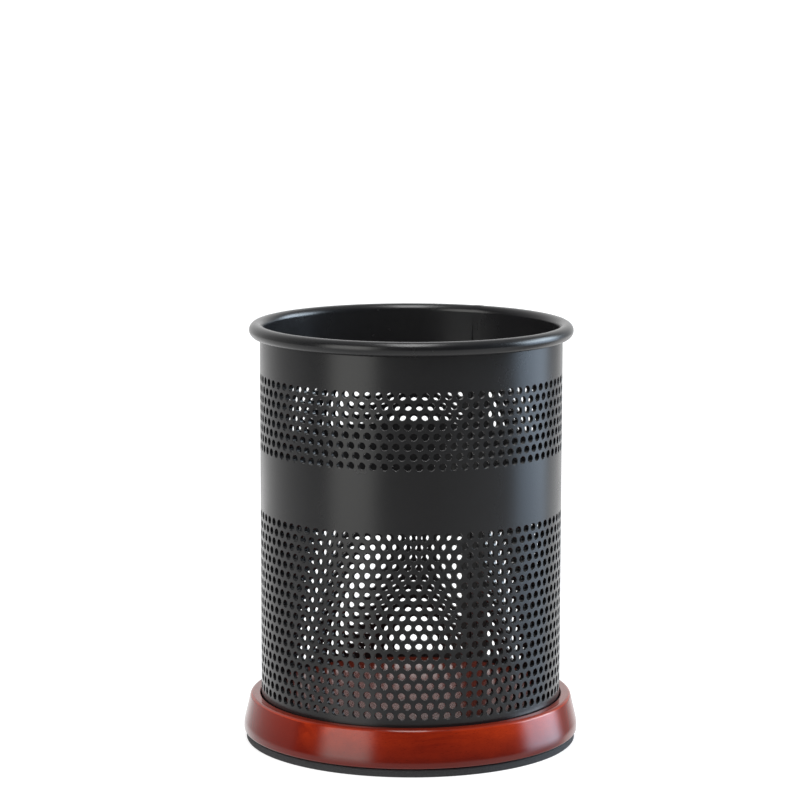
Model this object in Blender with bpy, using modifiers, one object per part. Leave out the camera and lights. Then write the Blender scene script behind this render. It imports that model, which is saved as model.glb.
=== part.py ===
"""Desk cup for pens: a perforated steel sleeve on a turned and varnished wooden base.

Metres, +Z up. The origin is the centre of the pad's underside, on the desk. From the desk up,
the cup comes apart into these pieces:

  base_pad            black foam disc that keeps the base from sliding
  wood_base           turned wooden disc with a counterbore in its top
  base_screw_1 .. 4   countersunk screws, driven up through the base and hidden by the pad
  perforated_sleeve   steel sheet rolled into a tube: flange at the bottom, curled rim at the top
  floor_plug          wooden disc inside the sleeve, which the screws pull down onto the flange
"""

import math

import bpy

MM = 0.001

# Driving dimensions
HOLE_PITCH = 3.0 * MM
HOLES_ROUND = 84
ROW_PITCH = HOLE_PITCH * math.sin(math.radians(60))
UPPER_ROWS = 8
PLAIN_ROWS = 6
LOWER_ROWS = 19
SHEET = 1.0 * MM
PAD_THICKNESS = 2.0 * MM
BASE_TOP = 12.2 * MM
BOTTOM_MARGIN = 2.8 * MM
RIM_MARGIN = 12.2 * MM
BASE_WIDEST = 44.8 * MM
SCREW_COUNT = 4
GAP = 0.3 * MM

# Perforated sleeve: a whole number of holes goes round it, in two bands with a plain band between
SLEEVE_RADIUS = HOLE_PITCH * HOLES_ROUND / (2 * math.pi)
SLEEVE_INSIDE = SLEEVE_RADIUS - SHEET
SHEET_MIDDLE = SLEEVE_RADIUS - SHEET / 2
LOWEST_ROW = BASE_TOP + BOTTOM_MARGIN
HIGHEST_ROW = LOWEST_ROW + (UPPER_ROWS + PLAIN_ROWS + LOWER_ROWS - 1) * ROW_PITCH
CURL_RADIUS = 1.43 * MM
CURL_HEIGHT = HIGHEST_ROW + RIM_MARGIN
CURL_START = 180
CURL_END = -100
FLANGE_WIDTH = 5.6 * MM
FLANGE_BEND = 1.0 * MM

# Wooden base
COUNTERBORE_FLOOR = 5.6 * MM
BASE_BOTTOM = PAD_THICKNESS + GAP
COUNTERBORE_RADIUS = SLEEVE_RADIUS + GAP
MOUTH_CHAMFER = 0.3 * MM
SIDE_LEAN = 13.1
KNEE_RADIUS = 8.0 * MM
KNEE_HEIGHT = 3.4 * MM
SHOULDER_ROUND = 1.0 * MM
FOOT_ROUND = 0.5 * MM

# Floor plug: a rebate under its edge takes the sleeve's flange
FLANGE_UNDERSIDE = COUNTERBORE_FLOOR + GAP
FLANGE_INNER = SHEET_MIDDLE - FLANGE_WIDTH
PLUG_RADIUS = SLEEVE_INSIDE - GAP
PLUG_BOTTOM = COUNTERBORE_FLOOR + GAP
PLUG_REBATE_TOP = FLANGE_UNDERSIDE + SHEET + GAP
PLUG_REBATE_RADIUS = FLANGE_INNER - GAP
PLUG_TOP_CHAMFER = 0.4 * MM
PLUG_BOTTOM_CHAMFER = 0.7 * MM

# Countersunk screws, measured up from the flat of the head
SCREW_CIRCLE = 26.0 * MM
SCREW_HEAD_DEPTH = 0.2 * MM
SCREW_HEAD_RADIUS = 2.6 * MM
SCREW_HEAD_HEIGHT = 1.4 * MM
SCREW_SHANK_RADIUS = 1.3 * MM
SCREW_LENGTH = 7.5 * MM
SCREW_POINT = 1.2 * MM
SCREW_POINT_RADIUS = 0.4 * MM
RECESS_LENGTH = 2.6 * MM
RECESS_WIDTH = 0.7 * MM
RECESS_DEPTH = 0.8 * MM

# Pad
PAD_RADIUS = 44.2 * MM
PAD_EDGE = 0.2 * MM

# Smoothness
ROUND_STEPS = 48
SCREW_STEPS = 16
CURL_POINTS = 12
BEND_POINTS = 3
CORNER_POINTS = 3
KNEE_POINTS = 3
MERGE = 0.001 * MM


def clear_scene():
    for old in list(bpy.data.objects):
        bpy.data.objects.remove(old, do_unlink=True)


def new_collection(name):
    collection = bpy.data.collections.new(name)
    bpy.context.scene.collection.children.link(collection)
    return collection


def material(name, colour, roughness, metallic=0.0, coat=0.0):
    """Make a Principled material from a linear RGB colour."""
    result = bpy.data.materials.new(name)
    result.use_nodes = True
    shader = result.node_tree.nodes["Principled BSDF"]
    shader.inputs["Base Color"].default_value = (*colour, 1.0)
    shader.inputs["Roughness"].default_value = roughness
    shader.inputs["Metallic"].default_value = metallic
    shader.inputs["Coat Weight"].default_value = coat
    return result


def arc(centre_radius, centre_height, radius, start, end, count):
    """Points of an arc in the (radius, height) plane, from start to end in degrees."""
    points = []
    for index in range(count + 1):
        angle = math.radians(start + (end - start) * index / count)
        points.append((centre_radius + radius * math.cos(angle),
                       centre_height + radius * math.sin(angle)))
    return points


def turned(name, profile, collection, steps):
    """Turn (radius, height) points, which run down the outer side, round the object's Z axis."""
    mesh = bpy.data.meshes.new(name)
    points = [(radius, 0.0, height) for radius, height in profile]
    edges = [(index, index + 1) for index in range(len(points) - 1)]
    mesh.from_pydata(points, edges, [])
    obj = bpy.data.objects.new(name, mesh)
    collection.objects.link(obj)
    turn = obj.modifiers.new("turn", "SCREW")
    turn.steps = steps
    turn.render_steps = steps
    turn.use_merge_vertices = True
    turn.merge_threshold = MERGE
    return obj


def cut(obj, cutter):
    boolean = obj.modifiers.new("cut_" + cutter.name, "BOOLEAN")
    boolean.operation = "DIFFERENCE"
    boolean.solver = "EXACT"
    boolean.object = cutter


def hide_cutter(obj):
    obj.hide_render = True
    obj.display_type = "WIRE"


def base_pad(parts):
    profile = [
        (0.0, PAD_THICKNESS),
        (PAD_RADIUS - PAD_EDGE, PAD_THICKNESS),
        (PAD_RADIUS, PAD_THICKNESS - PAD_EDGE),
        (PAD_RADIUS, PAD_EDGE),
        (PAD_RADIUS - PAD_EDGE, 0.0),
        (0.0, 0.0),
    ]
    obj = turned("base_pad", profile, parts, ROUND_STEPS)
    obj.data.materials.append(material("black_foam", (0.012, 0.012, 0.013), 0.85))
    return obj


def wood_base(parts, varnished_wood, hole_cutters):
    """A disc whose side leans out as it goes down, over a knee, to a short upright foot."""
    knee = arc(BASE_WIDEST - KNEE_RADIUS, KNEE_HEIGHT, KNEE_RADIUS, SIDE_LEAN, 0, KNEE_POINTS)
    knee_top_radius, knee_top_height = knee[0]
    shoulder_height = BASE_TOP - SHOULDER_ROUND
    side_rise = shoulder_height + SHOULDER_ROUND * math.sin(math.radians(SIDE_LEAN)) - knee_top_height
    side_top_radius = knee_top_radius - side_rise * math.tan(math.radians(SIDE_LEAN))
    shoulder_radius = side_top_radius - SHOULDER_ROUND * math.cos(math.radians(SIDE_LEAN))
    profile = [
        (0.0, COUNTERBORE_FLOOR),
        (COUNTERBORE_RADIUS, COUNTERBORE_FLOOR),
        (COUNTERBORE_RADIUS, BASE_TOP - MOUTH_CHAMFER),
        (COUNTERBORE_RADIUS + MOUTH_CHAMFER, BASE_TOP),
    ]
    profile += arc(shoulder_radius, shoulder_height, SHOULDER_ROUND, 90, SIDE_LEAN, CORNER_POINTS)
    profile += knee
    profile += arc(BASE_WIDEST - FOOT_ROUND, BASE_BOTTOM + FOOT_ROUND, FOOT_ROUND, 0, -90, CORNER_POINTS)
    profile.append((0.0, BASE_BOTTOM))
    obj = turned("wood_base", profile, parts, ROUND_STEPS)
    obj.data.materials.append(varnished_wood)
    for cutter in hole_cutters:
        cut(obj, cutter)
    return obj


def floor_plug(parts, varnished_wood, hole_cutters):
    profile = [
        (0.0, BASE_TOP),
        (PLUG_RADIUS - PLUG_TOP_CHAMFER, BASE_TOP),
        (PLUG_RADIUS, BASE_TOP - PLUG_TOP_CHAMFER),
        (PLUG_RADIUS, PLUG_REBATE_TOP + PLUG_BOTTOM_CHAMFER),
        (PLUG_RADIUS - PLUG_BOTTOM_CHAMFER, PLUG_REBATE_TOP),
        (PLUG_REBATE_RADIUS, PLUG_REBATE_TOP),
        (PLUG_REBATE_RADIUS, PLUG_BOTTOM),
        (0.0, PLUG_BOTTOM),
    ]
    obj = turned("floor_plug", profile, parts, ROUND_STEPS)
    obj.data.materials.append(varnished_wood)
    for cutter in hole_cutters:
        cut(obj, cutter)
    return obj


def perforated_sleeve(parts):
    """One sheet: curled rim, straight wall and inward flange, drawn along its mid-thickness.

    The wall is left plain here: it stands for the perforated sheet, holes and all.
    """
    curl_centre = SHEET_MIDDLE + CURL_RADIUS
    curl = arc(curl_centre, CURL_HEIGHT, CURL_RADIUS, CURL_END, CURL_START, CURL_POINTS)
    bend_height = FLANGE_UNDERSIDE + SHEET / 2 + FLANGE_BEND
    bend = arc(SHEET_MIDDLE - FLANGE_BEND, bend_height, FLANGE_BEND, 0, -90, BEND_POINTS)
    profile = curl + bend
    profile.append((FLANGE_INNER, bend_height - FLANGE_BEND))
    obj = turned("perforated_sleeve", profile, parts, ROUND_STEPS)
    thickness = obj.modifiers.new("sheet", "SOLIDIFY")
    thickness.thickness = SHEET
    thickness.offset = 0.0
    thickness.use_even_offset = True
    obj.data.materials.append(material("black_paint", (0.02, 0.02, 0.022), 0.38))
    return obj


def screw_mesh(scratch):
    """Countersunk screw, point up, with a cross recess in the flat of its head."""
    profile = [
        (0.0, SCREW_LENGTH),
        (SCREW_POINT_RADIUS, SCREW_LENGTH),
        (SCREW_SHANK_RADIUS, SCREW_LENGTH - SCREW_POINT),
        (SCREW_SHANK_RADIUS, SCREW_HEAD_HEIGHT),
        (SCREW_HEAD_RADIUS, 0.0),
        (0.0, 0.0),
    ]
    blank = turned("screw_blank", profile, scratch, SCREW_STEPS)
    slots = []
    for turn_angle in (0, 90):
        bpy.ops.mesh.primitive_cube_add(size=1, rotation=(0, 0, math.radians(turn_angle)))
        slot = bpy.context.object
        slot.name = "recess_slot"
        slot.scale = (RECESS_LENGTH, RECESS_WIDTH, 2 * RECESS_DEPTH)
        cut(blank, slot)
        slots.append(slot)
    bpy.context.view_layer.update()
    depsgraph = bpy.context.evaluated_depsgraph_get()
    mesh = bpy.data.meshes.new_from_object(blank.evaluated_get(depsgraph))
    mesh.name = "base_screw"
    mesh.materials.clear()
    mesh.materials.append(material("zinc_plate", (0.62, 0.63, 0.65), 0.32, metallic=1.0))
    for leftover in [blank, *slots]:
        bpy.data.objects.remove(leftover, do_unlink=True)
    return mesh


def screw_places():
    """Where the heads' flats sit, evenly spaced round the base."""
    places = []
    for index in range(SCREW_COUNT):
        angle = 2 * math.pi * (index + 0.5) / SCREW_COUNT
        places.append((SCREW_CIRCLE * math.cos(angle), SCREW_CIRCLE * math.sin(angle),
                       BASE_BOTTOM + SCREW_HEAD_DEPTH))
    return places


def screw_hole_cutters(cutters):
    """The screw's own outline with the clearance added, open below the head."""
    hole = SCREW_SHANK_RADIUS + GAP
    lean = (SCREW_HEAD_RADIUS - SCREW_SHANK_RADIUS) / SCREW_HEAD_HEIGHT
    below = -2 * SCREW_HEAD_DEPTH
    profile = [
        (0.0, SCREW_LENGTH + GAP),
        (hole, SCREW_LENGTH + GAP),
        (hole, SCREW_HEAD_HEIGHT + GAP),
        (hole + (SCREW_HEAD_HEIGHT + GAP - below) * lean, below),
        (0.0, below),
    ]
    made = []
    for index, place in enumerate(screw_places()):
        cutter = turned(f"screw_hole_{index + 1}", profile, cutters, SCREW_STEPS)
        cutter.location = place
        hide_cutter(cutter)
        made.append(cutter)
    return made


def base_screws(parts, mesh):
    made = []
    for index, place in enumerate(screw_places()):
        obj = bpy.data.objects.new(f"base_screw_{index + 1}", mesh)
        obj.location = place
        parts.objects.link(obj)
        made.append(obj)
    return made


def main():
    clear_scene()
    parts = new_collection("pen_holder_cup")
    cutters = new_collection("cutters")
    varnished_wood = material("varnished_wood", (0.27, 0.028, 0.012), 0.22, coat=1.0)
    hole_cutters = screw_hole_cutters(cutters)
    pieces = [
        base_pad(parts),
        wood_base(parts, varnished_wood, hole_cutters),
        perforated_sleeve(parts),
        floor_plug(parts, varnished_wood, hole_cutters),
    ]
    pieces += base_screws(parts, screw_mesh(cutters))
    cup = bpy.data.objects.new("cup", None)
    parts.objects.link(cup)
    for piece in pieces:
        piece.parent = cup


main()
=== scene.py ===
"""The looks of the pen holder cup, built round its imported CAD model.

Metres, +Z up, in the CAD model's frame: the desk is at z = 0 and the camera is on the -Y side.
"""

import math

import bpy
from mathutils import Euler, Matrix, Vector


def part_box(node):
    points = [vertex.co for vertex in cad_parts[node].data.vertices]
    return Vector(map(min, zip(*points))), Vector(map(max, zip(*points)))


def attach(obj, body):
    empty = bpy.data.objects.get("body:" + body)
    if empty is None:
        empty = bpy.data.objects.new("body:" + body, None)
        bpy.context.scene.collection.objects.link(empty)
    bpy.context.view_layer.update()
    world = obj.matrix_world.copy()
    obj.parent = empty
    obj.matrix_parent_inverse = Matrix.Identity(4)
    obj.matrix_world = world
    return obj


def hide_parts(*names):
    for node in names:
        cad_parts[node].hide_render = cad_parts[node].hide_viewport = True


MM = 0.001

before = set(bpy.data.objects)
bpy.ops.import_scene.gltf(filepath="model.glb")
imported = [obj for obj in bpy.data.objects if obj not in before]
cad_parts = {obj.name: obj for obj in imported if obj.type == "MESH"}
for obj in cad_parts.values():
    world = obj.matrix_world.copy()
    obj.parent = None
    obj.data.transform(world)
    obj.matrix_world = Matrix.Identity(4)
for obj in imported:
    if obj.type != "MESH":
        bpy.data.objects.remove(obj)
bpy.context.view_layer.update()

# Perforated sheet: 2 mm holes staggered at 3 mm
HOLE_PITCH = 3.0 * MM
HOLES_ROUND = 84
HOLE_RADIUS = 1.0 * MM
SHEET = 1.0 * MM
ROW_PITCH = HOLE_PITCH * math.sin(math.radians(60))
UPPER_ROWS = 8
PLAIN_ROWS = 6
LOWER_ROWS = 19
GRID_ROWS = LOWER_ROWS + PLAIN_ROWS + UPPER_ROWS
BOTTOM_MARGIN = 2.8 * MM
HALF_COLUMNS = 2 * HOLES_ROUND
COLUMN_STEP = 2 * math.pi / HALF_COLUMNS
FIRST_COLUMN_ANGLE = math.radians(0.95)

# Heights and radii that the CAD model sets
SLEEVE_LOW, SLEEVE_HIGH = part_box("perforated_sleeve")
WOOD_LOW, WOOD_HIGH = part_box("wood_base")
PLUG_LOW, PLUG_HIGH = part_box("floor_plug")
PAD_LOW, PAD_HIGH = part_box("base_pad")
SLEEVE_RADIUS = HOLE_PITCH * HOLES_ROUND / (2 * math.pi)
LOWEST_ROW = WOOD_HIGH.z + BOTTOM_MARGIN
GRID_BOTTOM = LOWEST_ROW - ROW_PITCH / 2
GRID_TOP = GRID_BOTTOM + GRID_ROWS * ROW_PITCH

# Rim: the sheet's top edge curled outward
CURL_OUTSIDE = (SLEEVE_HIGH.x - SLEEVE_RADIUS + SHEET) / 2
CURL_INSIDE = CURL_OUTSIDE - SHEET
CURL_CENTRE = SLEEVE_HIGH.x - CURL_OUTSIDE
CURL_HEIGHT = SLEEVE_HIGH.z - CURL_OUTSIDE
CURL_START = 180
CURL_END = -100

# Flange: the sheet's bottom edge bent inward
BEND_OUTSIDE = 1.5 * MM
FLANGE_WIDTH = 5.6 * MM

# Points along each curve of the sheet's section
CURL_INSIDE_STEPS = 6
CURL_EDGE_STEPS = 3
CURL_OUTSIDE_STEPS = 20
BEND_INSIDE_STEPS = 1
BEND_OUTSIDE_STEPS = 2

# Seam: the sheet's two ends, lapped and rolled nearly flat, on a strip left without holes
SEAM_COLUMN = 71
SEAM_CLEAR_COLUMNS = 3
SEAM_HALF_WIDTH = 1.1 * MM
SEAM_EASE = 0.25 * MM
SEAM_RISE = 0.16 * MM
SEAM_EXTRA_COLUMNS = 3
SEAM_SLOPE_STEP = 0.02

# Edges of a hole, from the outer face inward: (radius, depth, lean of the normal off the face)
HOLE_SIDES = 12
HOLE_RINGS = (
    (1.1 * MM, 0.0 * MM, 0),
    (1.0 * MM, 0.09 * MM, 90),
    (1.0 * MM, 1.0 * MM, 90),
)


# Mesh building

def link_object(name, data):
    """A new object in the scene that shows this mesh, light or camera."""
    obj = bpy.data.objects.new(name, data)
    bpy.context.scene.collection.objects.link(obj)
    return obj


class Surface:
    """Collects points, the corners at them with their shading normals, and faces of corners."""

    def __init__(self):
        self.points = []
        self.corners = []
        self.faces = []

    def add(self, point, normal):
        """A corner at a new point."""
        self.points.append(point)
        self.corners.append((len(self.points) - 1, normal))
        return len(self.corners) - 1

    def reshade(self, corner, normal):
        """A corner at the same point, for the faces past a crisp edge."""
        self.corners.append((self.corners[corner][0], normal))
        return len(self.corners) - 1

    def build(self, name):
        mesh = bpy.data.meshes.new(name)
        faces = [[self.corners[corner][0] for corner in face] for face in self.faces]
        mesh.from_pydata(self.points, [], faces)
        mesh.shade_smooth()
        mesh.normals_split_custom_set([self.corners[corner][1] for face in self.faces
                                       for corner in face])
        return link_object(name, mesh)


def arc(centre, radius, start, end, count):
    """(radius, height, normal angle) along an arc, from start to end in degrees."""
    points = []
    for index in range(count + 1):
        degrees = start + (end - start) * index / count
        angle = math.radians(degrees)
        points.append((centre[0] + radius * math.cos(angle),
                       centre[1] + radius * math.sin(angle), degrees))
    return points


def facing_centre(points):
    """The same arc with its normals turned to the arc's centre."""
    return [(radius, height, degrees + 180) for radius, height, degrees in points]


# Perforated sleeve

def around(column):
    """The direction of a column of the hole grid, counted in half pitches from the front."""
    return FIRST_COLUMN_ANGLE + column * COLUMN_STEP


def cylinder_point(radius, angle, height):
    return (radius * math.sin(angle), -radius * math.cos(angle), height)


def seam_rise(column):
    """How far each face stands proud at a column, where the lapped ends were rolled together."""
    distance = abs(column - SEAM_COLUMN) * COLUMN_STEP * SLEEVE_RADIUS
    ease = (SEAM_HALF_WIDTH + SEAM_EASE - distance) / (2 * SEAM_EASE)
    ease = min(max(ease, 0.0), 1.0)
    return SEAM_RISE * ease * ease * (3 - 2 * ease)


def seam_columns():
    """Whole half-pitch columns, with finer ones across the seam."""
    columns = [float(column) for column in range(HALF_COLUMNS)]
    for index in range(1, 2 * SEAM_EXTRA_COLUMNS):
        columns.append(SEAM_COLUMN - 1 + index / SEAM_EXTRA_COLUMNS)
    return sorted(set(columns))


def seam_normal(column, outward):
    """The face's normal at a column, tilted where the seam rises."""
    rise = seam_rise(column + SEAM_SLOPE_STEP) - seam_rise(column - SEAM_SLOPE_STEP)
    slope = rise / (2 * SEAM_SLOPE_STEP * COLUMN_STEP * SLEEVE_RADIUS)
    angle = around(column) + (math.atan(-slope) if outward else math.atan(slope))
    direction = Vector((math.sin(angle), -math.cos(angle), 0.0))
    return direction if outward else -direction


def has_hole(row, column):
    """Whether the grid has a hole in this row centred on this half-pitch column."""
    in_plain_band = LOWER_ROWS <= row < LOWER_ROWS + PLAIN_ROWS
    staggered = (row + column) % 2 == 0
    return staggered and not in_plain_band and abs(column - SEAM_COLUMN) >= SEAM_CLEAR_COLUMNS


def wall_ring(surface, columns, height, outward):
    """One ring of points round the wall's outer or inner face; returns column -> point index."""
    ring = {}
    for column in columns:
        rise = seam_rise(column)
        radius = SLEEVE_RADIUS + rise if outward else SLEEVE_RADIUS - SHEET - rise
        point = cylinder_point(radius, around(column), height)
        ring[column] = surface.add(point, seam_normal(column, outward))
    return ring


def hole_wall(surface, row, column):
    """The side of one hole; returns its rings of corners for the outer and the inner face."""
    centre_angle = around(column)
    centre_height = GRID_BOTTOM + (row + 0.5) * ROW_PITCH
    rings = []
    for radius, depth, lean in HOLE_RINGS:
        ring = []
        for side in range(HOLE_SIDES):
            turn = math.pi / 2 - 2 * math.pi * side / HOLE_SIDES
            angle = centre_angle + radius * math.cos(turn) / SLEEVE_RADIUS
            height = centre_height + radius * math.sin(turn)
            outward = Vector((math.sin(angle), -math.cos(angle), 0.0))
            along = Vector((math.cos(angle), math.sin(angle), 0.0))
            to_axis = -(along * math.cos(turn) + Vector((0, 0, 1)) * math.sin(turn))
            tilt = math.radians(lean)
            normal = outward * math.cos(tilt) + to_axis * math.sin(tilt)
            ring.append(surface.add(cylinder_point(SLEEVE_RADIUS - depth, angle, height), normal))
        rings.append(ring)
    for outer, inner in zip(rings[:-1], rings[1:]):
        for side in range(HOLE_SIDES):
            after = (side + 1) % HOLE_SIDES
            surface.faces.append((outer[side], inner[side], inner[after], outer[after]))
    inward = Vector((-math.sin(centre_angle), math.cos(centre_angle), 0.0))
    return rings[0], [surface.reshade(corner, inward) for corner in rings[-1]]


def cell_face(surface, below, above, column, hole, outward):
    """Join a hole's ring to the six points round its cell, clockwise from the top middle."""
    before = (column - 1) % HALF_COLUMNS
    after = (column + 1) % HALF_COLUMNS
    border = [above[column], above[after], below[after],
              below[column], below[before], above[before]]
    sides_each = HOLE_SIDES // len(border)
    for index, corner in enumerate(border):
        following = border[(index + 1) % len(border)]
        first = index * sides_each
        near = [hole[(first + step) % HOLE_SIDES] for step in range(sides_each + 1)]
        faces = [(corner, near[1], near[0]), (corner, following, near[1]),
                 (following, near[2], near[1])]
        for face in faces:
            surface.faces.append(face[::-1] if outward else face)


def plain_faces(surface, below, above, columns, row, outward):
    """Fill the stretches of a row that no hole's cell covers."""
    for index, column in enumerate(columns):
        following = columns[(index + 1) % len(columns)]
        whole = int(column)
        cell_starts_here = has_hole(row, whole) or has_hole(row, (whole + 1) % HALF_COLUMNS)
        if cell_starts_here and column == whole:
            continue
        face = (above[column], above[following], below[following], below[column])
        surface.faces.append(face[::-1] if outward else face)


def turned_strip(surface, columns, profile, first_ring, last_ring):
    """Turn a profile between two rings that exist already, with the seam standing proud of it.

    The profile's points are (radius, height, normal angle) and lie strictly between the rings.
    """
    rings = [first_ring]
    for radius, height, degrees in profile:
        tilt = math.radians(degrees)
        ring = {}
        for column in columns:
            rise = seam_rise(column)
            angle = around(column)
            raised = min(height + rise * math.sin(tilt), SLEEVE_HIGH.z)
            point = cylinder_point(radius + rise * math.cos(tilt), angle, raised)
            normal = Vector(cylinder_point(math.cos(tilt), angle, math.sin(tilt)))
            ring[column] = surface.add(point, normal)
        rings.append(ring)
    rings.append(last_ring)
    for lower, upper in zip(rings[:-1], rings[1:]):
        for index, column in enumerate(columns):
            following = columns[(index + 1) % len(columns)]
            surface.faces.append((lower[column], lower[following], upper[following], upper[column]))


def rim_profile():
    """From the wall's outer face, up inside the curl, round its free edge and back over the top."""
    centre = (CURL_CENTRE, CURL_HEIGHT)
    inside = facing_centre(arc(centre, CURL_INSIDE, CURL_START, CURL_END, CURL_INSIDE_STEPS))
    middle_radius = (CURL_OUTSIDE + CURL_INSIDE) / 2
    edge_angle = math.radians(CURL_END)
    edge_centre = (centre[0] + middle_radius * math.cos(edge_angle),
                   centre[1] + middle_radius * math.sin(edge_angle))
    edge = arc(edge_centre, SHEET / 2, CURL_END - 180, CURL_END, CURL_EDGE_STEPS)[1:-1]
    outside = arc(centre, CURL_OUTSIDE, CURL_END, CURL_START, CURL_OUTSIDE_STEPS)
    return inside + edge + outside


def flange_profile():
    """From the wall's inner face, in along the flange, round its edge and back underneath."""
    low = SLEEVE_LOW.z
    inner_edge = SLEEVE_RADIUS - SHEET / 2 - FLANGE_WIDTH
    centre = (SLEEVE_RADIUS - BEND_OUTSIDE, low + BEND_OUTSIDE)
    inside = facing_centre(arc(centre, BEND_OUTSIDE - SHEET, 0, -90, BEND_INSIDE_STEPS))
    edge = [(inner_edge, low + SHEET, 135), (inner_edge, low, 225)]
    outside = arc(centre, BEND_OUTSIDE, -90, 0, BEND_OUTSIDE_STEPS)
    return inside + edge + outside


def perforated_sleeve():
    surface = Surface()
    columns = seam_columns()
    # The plain band is one tall row
    edges = [*range(LOWER_ROWS + 1), *range(LOWER_ROWS + PLAIN_ROWS, GRID_ROWS + 1)]
    heights = [GRID_BOTTOM + edge * ROW_PITCH for edge in edges]
    outer_rings = [wall_ring(surface, columns, height, True) for height in heights]
    inner_rings = [wall_ring(surface, columns, height, False) for height in heights]
    for index, row in enumerate(edges[:-1]):
        outer_pair = outer_rings[index:index + 2]
        inner_pair = inner_rings[index:index + 2]
        plain_faces(surface, *outer_pair, columns, row, True)
        plain_faces(surface, *inner_pair, columns, row, False)
        for column in range(HALF_COLUMNS):
            if has_hole(row, column):
                outer_hole, inner_hole = hole_wall(surface, row, column)
                cell_face(surface, *outer_pair, column, outer_hole, True)
                cell_face(surface, *inner_pair, column, inner_hole, False)
    turned_strip(surface, columns, rim_profile(), outer_rings[-1], inner_rings[-1])
    turned_strip(surface, columns, flange_profile(), inner_rings[0], outer_rings[0])
    return surface.build("perforated_steel_sleeve")


# Turned pieces

ROUND_SIDES = 256
CORNER_STEPS = 6
KNEE_STEPS = 8
SHARP_ANGLE = math.radians(50)
SIDE_LEAN = 13.1
KNEE_RADIUS = 8.0 * MM
KNEE_HEIGHT = 3.4 * MM
SHOULDER_ROUND = 1.0 * MM
FOOT_ROUND = 0.5 * MM
MOUTH_ROUND = 0.3 * MM
WOOD_CORNER = 0.4 * MM
GAP = 0.3 * MM
COUNTERBORE_FLOOR = SLEEVE_LOW.z - GAP
COUNTERBORE_RADIUS = SLEEVE_RADIUS + GAP
PLUG_REBATE_TOP = SLEEVE_LOW.z + SHEET + GAP
PLUG_REBATE_RADIUS = 33.7 * MM
PAD_ROUND = 0.35 * MM


def rounded(radius, height, size, start, end, count=CORNER_STEPS):
    """(radius, height) points of a rounded corner whose arc has this centre and size."""
    return [point[:2] for point in arc((radius, height), size, start, end, count)]


def turned(name, profile, sides):
    """A closed solid, from (radius, height) points that start and end on the axis."""
    points = []
    rings = []
    for radius, height in profile:
        if radius == 0.0:
            rings.append([len(points)] * sides)
            points.append((0.0, 0.0, height))
            continue
        rings.append(list(range(len(points), len(points) + sides)))
        for side in range(sides):
            angle = 2 * math.pi * side / sides
            points.append((radius * math.cos(angle), radius * math.sin(angle), height))
    faces = []
    for upper, lower in zip(rings[:-1], rings[1:]):
        for side in range(sides):
            after = (side + 1) % sides
            loop = [upper[side], lower[side], lower[after], upper[after]]
            faces.append(list(dict.fromkeys(loop)))
    mesh = bpy.data.meshes.new(name)
    mesh.from_pydata(points, [], faces)
    return link_object(name, mesh)


def smooth_corners(obj):
    """Shade round parts smooth and keep flat faces flat."""
    obj.data.shade_smooth()
    obj.data.set_sharp_from_angle(angle=SHARP_ANGLE)
    weighted = obj.modifiers.new("weighted_normals", "WEIGHTED_NORMAL")
    weighted.keep_sharp = True


def apply_modifiers(obj):
    bpy.context.view_layer.update()
    depsgraph = bpy.context.evaluated_depsgraph_get()
    mesh = bpy.data.meshes.new_from_object(obj.evaluated_get(depsgraph))
    obj.modifiers.clear()
    obj.data = mesh
    mesh.name = obj.name


def wood_base(hole_cutters):
    """The leaning side, a knee and a short upright foot, round the counterbore for the sleeve."""
    lean = math.radians(SIDE_LEAN)
    knee = rounded(WOOD_HIGH.x - KNEE_RADIUS, KNEE_HEIGHT, KNEE_RADIUS, SIDE_LEAN, 0, KNEE_STEPS)
    shoulder_height = WOOD_HIGH.z - SHOULDER_ROUND
    rise = shoulder_height + SHOULDER_ROUND * math.sin(lean) - knee[0][1]
    shoulder_radius = knee[0][0] - rise * math.tan(lean) - SHOULDER_ROUND * math.cos(lean)
    mouth_radius = COUNTERBORE_RADIUS + MOUTH_ROUND
    profile = [(0.0, COUNTERBORE_FLOOR), (COUNTERBORE_RADIUS, COUNTERBORE_FLOOR)]
    profile += rounded(mouth_radius, WOOD_HIGH.z - MOUTH_ROUND, MOUTH_ROUND, 180, 90)
    profile += rounded(shoulder_radius, shoulder_height, SHOULDER_ROUND, 90, SIDE_LEAN)
    profile += knee
    profile += rounded(WOOD_HIGH.x - FOOT_ROUND, WOOD_LOW.z + FOOT_ROUND, FOOT_ROUND, 0, -90)
    profile.append((0.0, WOOD_LOW.z))
    obj = turned("turned_wood_base", profile, ROUND_SIDES)
    drill(obj, hole_cutters)
    return obj


def floor_plug(hole_cutters):
    edge = PLUG_HIGH.x
    profile = [(0.0, PLUG_HIGH.z)]
    profile += rounded(edge - WOOD_CORNER, PLUG_HIGH.z - WOOD_CORNER, WOOD_CORNER, 90, 0)
    profile += rounded(edge - WOOD_CORNER, PLUG_REBATE_TOP + WOOD_CORNER, WOOD_CORNER, 0, -90)
    profile.append((PLUG_REBATE_RADIUS, PLUG_REBATE_TOP))
    profile.append((PLUG_REBATE_RADIUS, PLUG_LOW.z))
    profile.append((0.0, PLUG_LOW.z))
    obj = turned("wooden_floor_plug", profile, ROUND_SIDES)
    drill(obj, hole_cutters)
    return obj


def base_pad():
    edge = PAD_HIGH.x
    profile = [(0.0, PAD_HIGH.z)]
    profile += rounded(edge - PAD_ROUND, PAD_HIGH.z - PAD_ROUND, PAD_ROUND, 90, 0)
    profile += rounded(edge - PAD_ROUND, PAD_LOW.z + PAD_ROUND, PAD_ROUND, 0, -90)
    profile.append((0.0, PAD_LOW.z))
    return turned("foam_base_pad", profile, ROUND_SIDES)


# Countersunk screws, hidden between the pad and the floor plug

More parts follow.
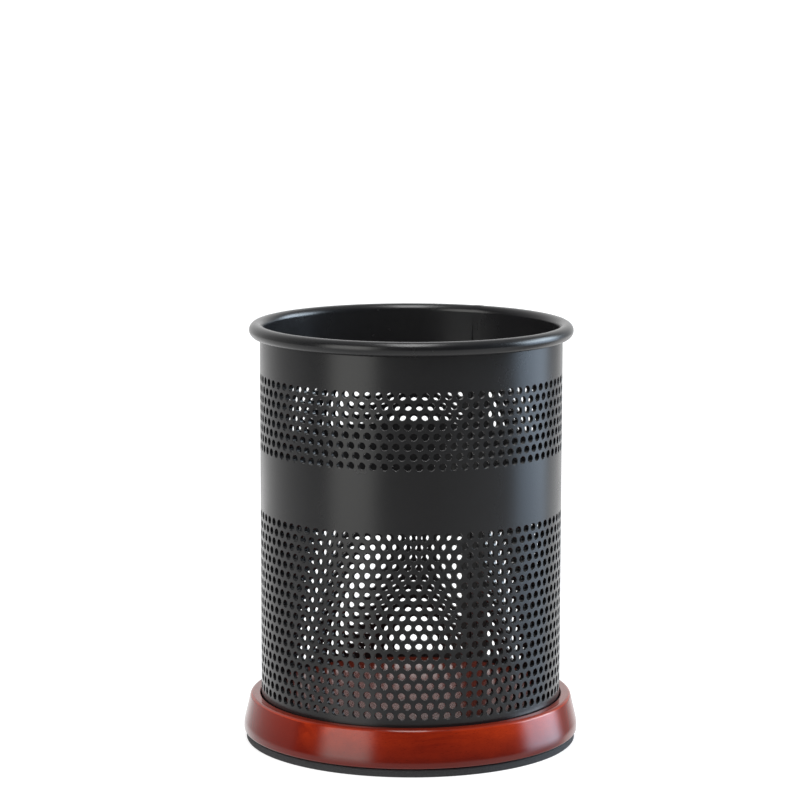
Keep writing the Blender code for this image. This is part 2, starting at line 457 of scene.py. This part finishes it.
SCREW_HEAD_RADIUS = 2.6 * MM
SCREW_HEAD_HEIGHT = 1.4 * MM
SCREW_CORE_RADIUS = 0.95 * MM
SCREW_THREAD_RADIUS = 1.3 * MM
THREAD_PITCH = 1.1 * MM
THREAD_START = 2.2 * MM
THREAD_STEEPNESS = 3.2
THREAD_RUN_IN = 0.5 * THREAD_PITCH
SCREW_LENGTH = 7.5 * MM
POINT_LENGTH = 1.6 * MM
POINT_BLUNTNESS = 0.12
SCREW_SIDES = 36
SCREW_RINGS = 90
DRILL_SIDES = 48
DRILL_BELOW = 0.4 * MM
RECESS_LENGTH = 2.6 * MM
RECESS_WIDTH = 0.7 * MM
RECESS_DEPTH = 0.8 * MM


def screw_axes():
    """Centre of each CAD screw's head face."""
    axes = []
    for index in range(1, 5):
        low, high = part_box(f"base_screw_{index}")
        axes.append(Vector(((low.x + high.x) / 2, (low.y + high.y) / 2, low.z)))
    return axes


def hole_cutters():
    hole = SCREW_THREAD_RADIUS + GAP
    lean = (SCREW_HEAD_RADIUS - SCREW_THREAD_RADIUS) / SCREW_HEAD_HEIGHT
    below = -DRILL_BELOW
    profile = [
        (0.0, SCREW_LENGTH + GAP),
        (hole, SCREW_LENGTH + GAP),
        (hole, SCREW_HEAD_HEIGHT + GAP),
        (hole + (SCREW_HEAD_HEIGHT + GAP - below) * lean, below),
        (0.0, below),
    ]
    cutters = []
    for axis in screw_axes():
        cutter = turned("drill", profile, DRILL_SIDES)
        cutter.location = axis
        cutters.append(cutter)
    return cutters


def drill(obj, cutters):
    for cutter in cutters:
        boolean = obj.modifiers.new("drill", "BOOLEAN")
        boolean.operation = "DIFFERENCE"
        boolean.solver = "EXACT"
        boolean.object = cutter
    apply_modifiers(obj)


def thread_radius(height, angle):
    """Radius of the screw's side: a flared head, a plain neck, then a thread to the point."""
    if height < SCREW_HEAD_HEIGHT:
        share = height / SCREW_HEAD_HEIGHT
        return SCREW_HEAD_RADIUS + (SCREW_THREAD_RADIUS - SCREW_HEAD_RADIUS) * share
    if height < THREAD_START:
        return SCREW_THREAD_RADIUS
    phase = (height / THREAD_PITCH - angle / (2 * math.pi)) % 1.0
    crest = max(0.0, 1.0 - abs(phase - 0.5) * THREAD_STEEPNESS)
    start = min(1.0, (height - THREAD_START) / THREAD_RUN_IN)
    tip = min(1.0, max(POINT_BLUNTNESS, (SCREW_LENGTH - height) / POINT_LENGTH))
    plain = SCREW_THREAD_RADIUS * (1 - start) + SCREW_CORE_RADIUS * start
    return (plain + (SCREW_THREAD_RADIUS - plain) * crest) * tip


def screw_mesh():
    points = []
    for ring in range(SCREW_RINGS + 1):
        height = SCREW_LENGTH * (1 - ring / SCREW_RINGS)
        for side in range(SCREW_SIDES):
            angle = 2 * math.pi * side / SCREW_SIDES
            radius = thread_radius(height, angle)
            points.append((radius * math.cos(angle), radius * math.sin(angle), height))
    faces = []
    for ring in range(SCREW_RINGS):
        for side in range(SCREW_SIDES):
            after = (side + 1) % SCREW_SIDES
            upper, lower = ring * SCREW_SIDES, (ring + 1) * SCREW_SIDES
            faces.append((upper + side, lower + side, lower + after, upper + after))
    top_loop = list(range(SCREW_SIDES))
    bottom_loop = list(range(SCREW_RINGS * SCREW_SIDES, (SCREW_RINGS + 1) * SCREW_SIDES))
    faces.append(top_loop)
    faces.append(bottom_loop[::-1])
    mesh = bpy.data.meshes.new("screw")
    mesh.from_pydata(points, [], faces)
    blank = link_object("screw_blank", mesh)
    slots = []
    for angle in (0, 90):
        bpy.ops.mesh.primitive_cube_add(size=1, rotation=(0, 0, math.radians(angle)))
        slot = bpy.context.object
        slot.scale = (RECESS_LENGTH, RECESS_WIDTH, 2 * RECESS_DEPTH)
        slots.append(slot)
    drill(blank, slots)
    smooth_corners(blank)
    apply_modifiers(blank)
    mesh = blank.data
    for leftover in [blank, *slots]:
        bpy.data.objects.remove(leftover, do_unlink=True)
    return mesh


# Materials

def new_material(name, roughness, metallic=0.0):
    material = bpy.data.materials.new(name)
    material.use_nodes = True
    shader = material.node_tree.nodes["Principled BSDF"]
    shader.inputs["Roughness"].default_value = roughness
    shader.inputs["Metallic"].default_value = metallic
    return material, material.node_tree, shader


def turned_about_z(tree, vector, degrees):
    node = tree.nodes.new("ShaderNodeVectorRotate")
    node.rotation_type = "Z_AXIS"
    node.inputs["Angle"].default_value = math.radians(degrees)
    tree.links.new(vector, node.inputs["Vector"])
    return node.outputs["Vector"]


def in_millimetres(tree, stretch=(1, 1, 1), shift=(0, 0, 0), turn=0.0):
    """Object coordinates in millimetres, turned about Z, stretched along each axis and shifted."""
    coordinates = tree.nodes.new("ShaderNodeTexCoord").outputs["Object"]
    mapping = tree.nodes.new("ShaderNodeMapping")
    mapping.inputs["Scale"].default_value = [factor / MM for factor in stretch]
    mapping.inputs["Location"].default_value = shift
    tree.links.new(turned_about_z(tree, coordinates, turn), mapping.inputs["Vector"])
    return mapping.outputs["Vector"]


def noise(tree, vector, scale, detail=2.0, roughness=0.5, distortion=0.0):
    node = tree.nodes.new("ShaderNodeTexNoise")
    node.inputs["Scale"].default_value = scale
    node.inputs["Detail"].default_value = detail
    node.inputs["Roughness"].default_value = roughness
    node.inputs["Distortion"].default_value = distortion
    tree.links.new(vector, node.inputs["Vector"])
    return node.outputs["Fac"]


def remap(tree, value, low, high, to_low, to_high):
    node = tree.nodes.new("ShaderNodeMapRange")
    node.inputs["From Min"].default_value = low
    node.inputs["From Max"].default_value = high
    node.inputs["To Min"].default_value = to_low
    node.inputs["To Max"].default_value = to_high
    tree.links.new(value, node.inputs["Value"])
    return node.outputs["Result"]


def calculate(tree, operation, *values):
    """One arithmetic step on numbers or sockets."""
    node = tree.nodes.new("ShaderNodeMath")
    node.operation = operation
    for socket, value in zip(node.inputs, values):
        if isinstance(value, (int, float)):
            socket.default_value = value
        else:
            tree.links.new(value, socket)
    return node.outputs["Value"]


def multiply(tree, first, second):
    return calculate(tree, "MULTIPLY", first, second)


def add(tree, first, second):
    return calculate(tree, "ADD", first, second)


def absolute(tree, value):
    return calculate(tree, "ABSOLUTE", value)


def split_vector(tree, vector):
    """The vector's X, Y and Z."""
    node = tree.nodes.new("ShaderNodeSeparateXYZ")
    tree.links.new(vector, node.inputs["Vector"])
    return node.outputs


def mix_colour(tree, share, first, second):
    """Mix two colours, each an RGB tuple or a socket, by a share, a number or a socket."""
    node = tree.nodes.new("ShaderNodeMix")
    node.data_type = "RGBA"
    if isinstance(share, (int, float)):
        node.inputs["Factor"].default_value = share
    else:
        tree.links.new(share, node.inputs["Factor"])
    for name, value in (("A", first), ("B", second)):
        socket = next(s for s in node.inputs if s.name == name and s.type == "RGBA")
        if isinstance(value, tuple):
            socket.default_value = (*value, 1.0)
        else:
            tree.links.new(value, socket)
    return next(s for s in node.outputs if s.type == "RGBA")


def bump(tree, height, distance, below=None):
    """A bumped normal, laid over the normal below it if there is one."""
    node = tree.nodes.new("ShaderNodeBump")
    node.inputs["Strength"].default_value = 1.0
    node.inputs["Distance"].default_value = distance
    tree.links.new(height, node.inputs["Height"])
    if below is not None:
        tree.links.new(below, node.inputs["Normal"])
    return node.outputs["Normal"]


PAINT_DARK = (0.012, 0.012, 0.013)
PAINT_LIGHT = (0.018, 0.018, 0.0195)
PAINT_ROUGHNESS = (0.23, 0.28)
ORANGE_PEEL_HEIGHT = 0.012 * MM


def black_paint():
    """Satin black stoving paint with a fine orange peel and a cloudy gloss."""
    material, tree, shader = new_material("satin_black_paint", 0.25)
    position = in_millimetres(tree)
    cloud = noise(tree, position, 0.08, 4.0, 0.6)
    fine = noise(tree, position, 2.2, 2.0)
    colour = mix_colour(tree, cloud, PAINT_DARK, PAINT_LIGHT)
    tree.links.new(colour, shader.inputs["Base Color"])
    tree.links.new(remap(tree, cloud, 0.3, 0.7, *PAINT_ROUGHNESS), shader.inputs["Roughness"])
    tree.links.new(bump(tree, fine, ORANGE_PEEL_HEIGHT), shader.inputs["Normal"])
    return material


# Stain colours of the varnished wood, and colours of painted shade on it
LONG_GRAIN_DARK = (0.29, 0.017, 0.0045)
LONG_GRAIN_LIGHT = (0.6, 0.048, 0.0085)
STREAK = (0.26, 0.0145, 0.004)
PALE_BOARD = (0.75, 0.06, 0.0095)
LOW_DARKENING = (0.175, 0.014, 0.0075)
END_STAIN = (0.19, 0.012, 0.006)
# Painted shade: the colour that faces looking up are darkened toward
TOP_PAINTED_SHADE = (0.2, 0.018, 0.008)
# A darker, duller brown: partly a plainer stain, partly painted shade for the floor plug inside the
# cup
DULL_STAIN_AND_SHADE = (0.14, 0.03, 0.018)
PORE = (0.07, 0.005, 0.0025)
# Noise along, across and up the grain, and where in it the figure and the pale board fall
FIGURE_STRETCH = (0.03, 0.3, 0.3)
FIGURE_PLACE = (34.9, 8.4, 8.6)
STREAK_STRETCH = (0.12, 2.4, 2.4)
PORE_STRETCH = (0.5, 7.0, 7.0)
BOARD_STRETCH = (0.022, 0.022, 0.022)
BOARD_PLACE = (9.4, 0.8, 10.7)
# Noise levels between which each colour comes in, and the share it starts and ends with
FIGURE_SHARE = (0.3, 0.7, 0, 1)
STREAK_SHARE = (0.35, 0.75, 0, 0.5)
BOARD_SHARE = (0.43, 0.62, 0, 0.8)
PORE_SHARE = (0.62, 0.74, 0, 0.6)
# How far the floor plug's stain goes to the darker, duller brown: partly a plainer stain, partly
# painted shade
PLUG_DULLNESS_AND_SHADE = 0.7
# Heights in millimetres that the darker colour low down fades between, and how much it wanders
LOW_DARKENING_HEIGHTS = (5.0, 14.0)
LOW_DARKENING_WANDER = 2.0
# How squarely a face looks along the grain, as the cosine, where end grain begins and is full
END_GRAIN = (0.73, 0.79)
END_GRAIN_RAGGED = 0.12
GRAIN_TURN = 12
# How squarely a face looks up, as the cosine, where the painted shade on the top begins and is full
TOP_SHADE_FACE = (0.5, 0.95)
DEEP_STAIN_AND_SHADE_SHARE = 0.8
VARNISH_WAVE_HEIGHT = 0.03 * MM
GRAIN_HEIGHT = 0.01 * MM


def varnished_wood(name, dullness_and_shade):
    """Red-stained hardwood, its grain nearly along X, under clear gloss varnish.

    The second argument is how far the stain goes to a darker plain brown, from 0 to 1: partly a
    duller stain, partly painted shade. Faces that look up are darkened by a painted shade.
    """
    material, tree, shader = new_material(name, 0.45)
    figure_grain = in_millimetres(tree, FIGURE_STRETCH, FIGURE_PLACE, -GRAIN_TURN)
    streak_grain = in_millimetres(tree, STREAK_STRETCH, turn=-GRAIN_TURN)
    pore_grain = in_millimetres(tree, PORE_STRETCH, turn=-GRAIN_TURN)
    figure = noise(tree, figure_grain, 1.0, 5.0, 0.6, 0.6)
    streaks = noise(tree, streak_grain, 1.0, 3.0, 0.6)
    pores = noise(tree, pore_grain, 1.0, 1.0)
    board = noise(tree, in_millimetres(tree, BOARD_STRETCH, BOARD_PLACE), 1.0, 1.0)
    wander = noise(tree, in_millimetres(tree), 0.35, 3.0)
    wave = noise(tree, in_millimetres(tree), 0.16, 2.0)
    stain = mix_colour(tree, remap(tree, figure, *FIGURE_SHARE), LONG_GRAIN_DARK, LONG_GRAIN_LIGHT)
    stain = mix_colour(tree, remap(tree, streaks, *STREAK_SHARE), stain, STREAK)
    stain = mix_colour(tree, remap(tree, board, *BOARD_SHARE), stain, PALE_BOARD)
    # The stain is deeper in the end grain, and the colour is darker low down; faces that look up
    # get a painted shade against the light from above
    position = split_vector(tree, in_millimetres(tree))
    height = add(tree, position["Z"], multiply(tree, wander, LOW_DARKENING_WANDER))
    low_down = remap(tree, height, *LOW_DARKENING_HEIGHTS, 1.0, 0.0)
    stain = mix_colour(tree, low_down, stain, LOW_DARKENING)
    normal = tree.nodes.new("ShaderNodeNewGeometry").outputs["Normal"]
    facing = split_vector(tree, turned_about_z(tree, normal, -GRAIN_TURN))
    ragged = multiply(tree, add(tree, figure, -0.5), END_GRAIN_RAGGED)
    end_on = absolute(tree, add(tree, facing["X"], ragged))
    end_grain = remap(tree, end_on, *END_GRAIN, 0.0, DEEP_STAIN_AND_SHADE_SHARE)
    stain = mix_colour(tree, end_grain, stain, END_STAIN)
    # Painted shade: faces that look up are darkened, in place of less light falling on them from
    # above
    painted_top_shade = remap(tree, facing["Z"], *TOP_SHADE_FACE, 0.0, DEEP_STAIN_AND_SHADE_SHARE)
    stain = mix_colour(tree, painted_top_shade, stain, TOP_PAINTED_SHADE)
    # Partly painted shade: the stain made darker and duller, used for the floor plug inside the cup
    stain = mix_colour(tree, dullness_and_shade, stain, DULL_STAIN_AND_SHADE)
    stain = mix_colour(tree, remap(tree, pores, *PORE_SHARE), stain, PORE)
    tree.links.new(stain, shader.inputs["Base Color"])
    varnish_normal = bump(tree, wave, VARNISH_WAVE_HEIGHT)
    shader.inputs["Coat Weight"].default_value = 1.0
    shader.inputs["Coat Roughness"].default_value = 0.15
    shader.inputs["Coat IOR"].default_value = 1.45
    shader.inputs["Specular IOR Level"].default_value = 0.0
    tree.links.new(varnish_normal, shader.inputs["Coat Normal"])
    grain_normal = bump(tree, streaks, GRAIN_HEIGHT, varnish_normal)
    tree.links.new(grain_normal, shader.inputs["Normal"])
    return material


FOAM_DARK = (0.03, 0.03, 0.032)
FOAM_LIGHT = (0.065, 0.064, 0.068)
FOAM_CELLS_PER_MM = 4.0
FOAM_CELL_DEPTH = 0.06 * MM


def black_foam():
    """Matt foam with small closed cells."""
    material, tree, shader = new_material("black_foam", 0.9)
    cells = tree.nodes.new("ShaderNodeTexVoronoi")
    cells.inputs["Scale"].default_value = FOAM_CELLS_PER_MM
    tree.links.new(in_millimetres(tree), cells.inputs["Vector"])
    distance = cells.outputs["Distance"]
    colour = mix_colour(tree, distance, FOAM_DARK, FOAM_LIGHT)
    tree.links.new(colour, shader.inputs["Base Color"])
    tree.links.new(bump(tree, distance, FOAM_CELL_DEPTH), shader.inputs["Normal"])
    return material


ZINC_DARK = (0.5, 0.51, 0.54)
ZINC_LIGHT = (0.72, 0.72, 0.7)
ZINC_ROUGHNESS = (0.24, 0.4)


def zinc_plate():
    """Zinc plate with cloudy patches."""
    material, tree, shader = new_material("zinc_plate", 0.3, 1.0)
    cloud = noise(tree, in_millimetres(tree), 1.2, 4.0)
    colour = mix_colour(tree, cloud, ZINC_DARK, ZINC_LIGHT)
    tree.links.new(colour, shader.inputs["Base Color"])
    tree.links.new(remap(tree, cloud, 0.3, 0.7, *ZINC_ROUGHNESS), shader.inputs["Roughness"])
    return material


ACRYLIC_DARK = (0.44, 0.44, 0.44)
ACRYLIC_LIGHT = (0.46, 0.46, 0.46)
ACRYLIC_GLOW = 0.8


def pale_floor():
    """White acrylic, lit from below."""
    material, tree, shader = new_material("pale_floor", 0.9)
    cloud = noise(tree, in_millimetres(tree), 0.01, 3.0)
    colour = mix_colour(tree, cloud, ACRYLIC_DARK, ACRYLIC_LIGHT)
    tree.links.new(colour, shader.inputs["Base Color"])
    shader.inputs["Emission Color"].default_value = (1.0, 1.0, 1.0, 1.0)
    shader.inputs["Emission Strength"].default_value = ACRYLIC_GLOW
    return material


def finish_piece(obj, material, slot, *nodes):
    obj.data.materials.clear()
    obj.data.materials.append(material)
    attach(obj, "root")
    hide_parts(*nodes)


# The cup

def build_cup():
    cutters = hole_cutters()
    base = wood_base(cutters)
    plug = floor_plug(cutters)
    for cutter in cutters:
        bpy.data.objects.remove(cutter, do_unlink=True)
    pad = base_pad()
    for piece in (base, plug, pad):
        smooth_corners(piece)
        apply_modifiers(piece)
    base_wood = varnished_wood("varnished_base_wood", 0.0)
    plug_wood = varnished_wood("varnished_plug_wood", PLUG_DULLNESS_AND_SHADE)
    finish_piece(base, base_wood, "varnished_wood", "wood_base")
    finish_piece(plug, plug_wood, "varnished_wood", "floor_plug")
    finish_piece(pad, black_foam(), "black_foam", "base_pad")
    finish_piece(perforated_sleeve(), black_paint(), "black_paint", "perforated_sleeve")
    zinc = zinc_plate()
    mesh = screw_mesh()
    for index, axis in enumerate(screw_axes()):
        screw = link_object(f"countersunk_screw_{index + 1}", mesh.copy())
        screw.location = axis
        finish_piece(screw, zinc, "zinc_plate", f"base_screw_{index + 1}")


# The studio

FLOOR_RADIUS = 12.0
FLOOR_SIDES = 128
CAMERA_DISTANCE = 0.81895
CAMERA_ABOVE_DESK = 0.21569
CAMERA_PITCH = 9.179
CAMERA_ROLL = 0.133
CAMERA_LENS = 140.22
CAMERA_SENSOR = 36.0
CAMERA_SHIFT = (-0.01387, 0.03695)

# Radiance of the studio's walls and desk by azimuth in degrees: 0 is the camera's side, 90 is +X
WALLS = (
    (-180, 1.1), (-160, 0.95), (-140, 0.8), (-121, 0.52), (-100, 0.36), (-88, 0.3), (-83, 0.03),
    (72, 0.03), (88, 0.05), (102, 0.5), (112, 0.9), (123, 0.5), (137, 0.3), (158, 0.9), (180, 1.1),
)
DESK = (
    (-180, 1.0), (-152, 1.4), (-140, 1.25), (-113, 1.0), (-95, 0.86), (-75, 0.78), (-45, 0.62),
    (20, 0.6), (50, 0.8), (84, 0.85), (95, 0.45), (112, 0.35), (123, 0.6), (137, 1.3), (158, 1.15),
    (180, 1.0),
)
NEAR_DESK = 0.95
CEILING = 0.3
# Elevations in degrees between which one surface gives way to the next
DESK_EDGE = (-11, -7)
NEAR_DESK_EDGE = (-16, -80)
CEILING_EDGE = (40, 65)
# Big diffusers: azimuth from, to and softness; elevation from, softness, to, softness; radiance
DIFFUSERS = (
    (-62.5, -27.5, 5.5, -9, 12, 36, 6, (2.75, 2.75, 2.65)),
    (86.5, 123, 7, -8, 12, 30, 10, (3.1, 4.0, 5.1)),
    (86.5, 123, 7, 7, 4, 30, 10, (4.5, 5.0, 5.2)),
)
# Strip light overhead, in front of the cup
STRIP_SIZE = (0.33, 0.85)
STRIP_DISTANCE = 1.15
STRIP_ELEVATION = 75
STRIP_RADIANCE = 7.0


def degrees_of(tree, operation, *sockets):
    """The angle in degrees that a trigonometric function gives."""
    return multiply(tree, calculate(tree, operation, *sockets), 180 / math.pi)


def ramp(tree, value, stops):
    """A smooth run of brightness through (place, brightness) stops."""
    low, high = stops[0][0], stops[-1][0]
    node = tree.nodes.new("ShaderNodeValToRGB")
    elements = node.color_ramp.elements
    elements[0].position = 0.0
    elements[1].position = 1.0
    for place, _ in stops[1:-1]:
        elements.new((place - low) / (high - low))
    for element, (_, brightness) in zip(elements, stops):
        element.color = (brightness, brightness, brightness, 1.0)
    tree.links.new(remap(tree, value, low, high, 0.0, 1.0), node.inputs["Fac"])
    return node.outputs["Color"]


def window(tree, value, low, low_soft, high, high_soft):
    """1 between low and high, falling to 0 across soft edges."""
    rising = remap(tree, value, low - low_soft, low + low_soft, 0.0, 1.0)
    falling = remap(tree, value, high - high_soft, high + high_soft, 1.0, 0.0)
    for socket in (rising, falling):
        socket.node.interpolation_type = "SMOOTHSTEP"
    return multiply(tree, rising, falling)


def add_light(tree, total, share, colour):
    """total + share * colour."""
    node = tree.nodes.new("ShaderNodeMix")
    node.data_type = "RGBA"
    node.blend_type = "ADD"
    tree.links.new(share, node.inputs["Factor"])
    first, second = [socket for socket in node.inputs if socket.type == "RGBA"]
    tree.links.new(total, first)
    second.default_value = (*colour, 1.0)
    return next(socket for socket in node.outputs if socket.type == "RGBA")


def studio_world():
    """White to the camera; to everything else, walls and diffusers round the cup."""
    world = bpy.data.worlds.new("studio")
    world.use_nodes = True
    tree = world.node_tree
    tree.nodes.clear()
    ray = split_vector(tree, tree.nodes.new("ShaderNodeTexCoord").outputs["Generated"])
    azimuth = degrees_of(tree, "ARCTAN2", ray["X"], multiply(tree, ray["Y"], -1.0))
    elevation = degrees_of(tree, "ARCSINE", ray["Z"])
    above_desk = remap(tree, elevation, *DESK_EDGE, 0.0, 1.0)
    light = mix_colour(tree, above_desk, ramp(tree, azimuth, DESK), ramp(tree, azimuth, WALLS))
    for edge, level in ((NEAR_DESK_EDGE, NEAR_DESK), (CEILING_EDGE, CEILING)):
        share = remap(tree, elevation, *edge, 0.0, 1.0)
        light = mix_colour(tree, share, light, (level, level, level))
    for left, right, side_edge, low, low_edge, high, high_edge, colour in DIFFUSERS:
        across = window(tree, azimuth, left, side_edge, right, side_edge)
        up = window(tree, elevation, low, low_edge, high, high_edge)
        light = add_light(tree, light, multiply(tree, across, up), colour)
    reflected = tree.nodes.new("ShaderNodeBackground")
    tree.links.new(light, reflected.inputs["Color"])
    seen = tree.nodes.new("ShaderNodeBackground")
    seen.inputs["Color"].default_value = (1.0, 1.0, 1.0, 1.0)
    choose = tree.nodes.new("ShaderNodeMixShader")
    path = tree.nodes.new("ShaderNodeLightPath")
    output = tree.nodes.new("ShaderNodeOutputWorld")
    tree.links.new(path.outputs["Is Camera Ray"], choose.inputs["Fac"])
    tree.links.new(reflected.outputs["Background"], choose.inputs[1])
    tree.links.new(seen.outputs["Background"], choose.inputs[2])
    tree.links.new(choose.outputs["Shader"], output.inputs["Surface"])
    bpy.context.scene.world = world


def strip_light():
    width, length = STRIP_SIZE
    light = bpy.data.lights.new("strip_light", "AREA")
    light.shape = "RECTANGLE"
    light.size = width
    light.size_y = length
    light.energy = STRIP_RADIANCE * math.pi * width * length
    obj = link_object("strip_light", light)
    rise = math.radians(STRIP_ELEVATION)
    obj.location = (0, -STRIP_DISTANCE * math.cos(rise), STRIP_DISTANCE * math.sin(rise))
    obj.rotation_euler = (math.radians(90 - STRIP_ELEVATION), 0, 0)
    obj.visible_camera = False


def floor():
    bpy.ops.mesh.primitive_circle_add(vertices=FLOOR_SIDES, radius=FLOOR_RADIUS, fill_type="NGON")
    obj = bpy.context.object
    obj.name = "floor"
    obj.data.materials.append(pale_floor())
    obj.visible_glossy = False
    obj.visible_diffuse = False


def camera():
    data = bpy.data.cameras.new("camera")
    data.lens = CAMERA_LENS
    data.sensor_width = CAMERA_SENSOR
    data.shift_x, data.shift_y = CAMERA_SHIFT
    obj = link_object("camera", data)
    obj.location = (0.0, -CAMERA_DISTANCE, CAMERA_ABOVE_DESK)
    tilt = Euler((math.radians(90 - CAMERA_PITCH), 0.0, 0.0)).to_matrix()
    roll = Euler((0.0, 0.0, math.radians(CAMERA_ROLL))).to_matrix()
    obj.rotation_euler = (tilt @ roll).to_euler()
    bpy.context.scene.camera = obj


build_cup()
floor()
strip_light()
studio_world()
camera()
bpy.context.scene.view_settings.view_transform = "Standard"
